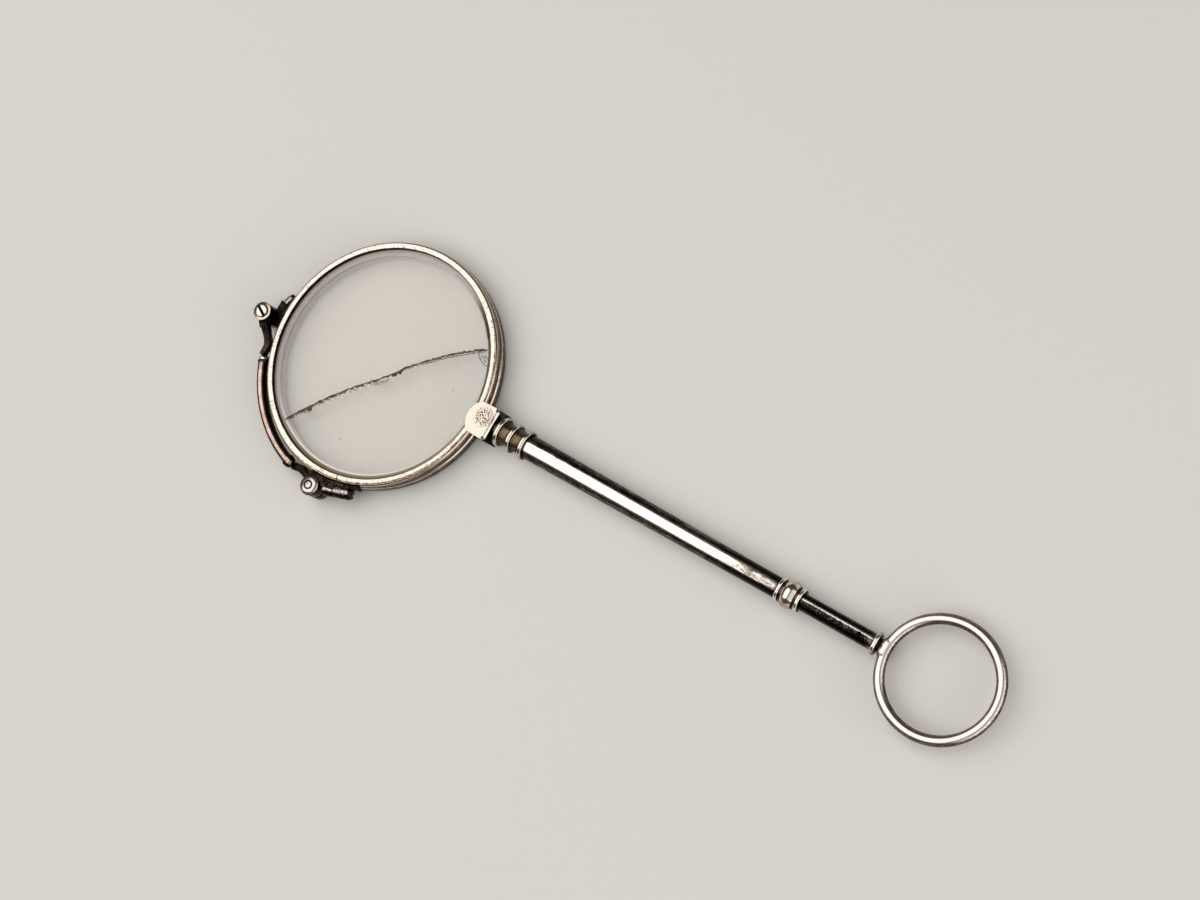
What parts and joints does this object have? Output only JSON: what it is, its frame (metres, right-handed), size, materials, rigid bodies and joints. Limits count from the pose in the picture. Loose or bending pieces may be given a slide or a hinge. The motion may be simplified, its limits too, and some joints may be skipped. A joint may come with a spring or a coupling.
{
  "type": "folding lorgnette",
  "caption": "Handled folding spectacles in worn silver, folded flat: round lenses face to face, a bow bridge hinged at both ends, a turned neck, a long tapered handle and a finger ring.",
  "frame": {"origin": "middle of the flat back of the head block, where the folded part rests", "axes": "+X runs along the handle to the finger ring, +Z is the front face of the lenses, +Y is the side of the rims away from the bridge bow"},
  "size_m": [0.1396, 0.0456, 0.005],
  "materials": {
    "silver_rim": "worn satin",
    "bright_silver": "rubbed bright",
    "worn_silver": "worn, pink-brown patina",
    "dark_silver": "tarnished, nearly black",
    "screw_steel": "worn satin",
    "lens_glass": "polished"
  },
  "bodies": {
    "handle_side": {"back_rim": "silver_rim", "back_lens": "lens_glass", "back_hinge_lug": "dark_silver", "back_closing_lug": "dark_silver", "back_closing_screw": "screw_steel", "upper_hinge_screw": "screw_steel", "upper_hinge_washer": "screw_steel", "rear_cheek": "worn_silver", "cheek_spacer": "dark_silver", "front_cheek": "bright_silver", "neck_collar": "dark_silver", "turned_neck": "worn_silver", "handle_tube": "dark_silver", "band_upper_ring": "bright_silver", "band_middle": "worn_silver", "band_lower_ring": "bright_silver", "lower_tube": "dark_silver", "spigot_pin": "worn_silver", "end_collar": "bright_silver", "ring_saddle": "worn_silver", "finger_ring": "bright_silver"},
    "bridge": {"bridge_bow": "worn_silver", "upper_ferrule": "bright_silver", "lower_ferrule": "bright_silver", "upper_bow_arm": "dark_silver", "lower_bow_arm": "dark_silver"},
    "front_side": {"front_rim": "silver_rim", "front_lens": "lens_glass", "front_hinge_lug": "worn_silver", "front_closing_lug": "dark_silver", "front_closing_screw": "screw_steel", "lower_hinge_screw": "screw_steel", "lower_hinge_washer": "screw_steel"}
  },
  "joints": [
    {"name": "bridge_fold", "type": "hinge", "parent": "handle_side", "child": "bridge", "pos_m": [-0.0469, -0.00223, 0.0025], "axis": [0, 0, -1], "range_deg": [0, 90]},
    {"name": "front_lens_fold", "type": "hinge", "parent": "bridge", "child": "front_side", "pos_m": [-0.02184, -0.02309, 0.0025], "axis": [0, 0, -1], "range_deg": [0, 76.5]}
  ],
  "couplings": [
    {"joint": "front_lens_fold", "follows": "bridge_fold", "ratio": 0.85}
  ]
}
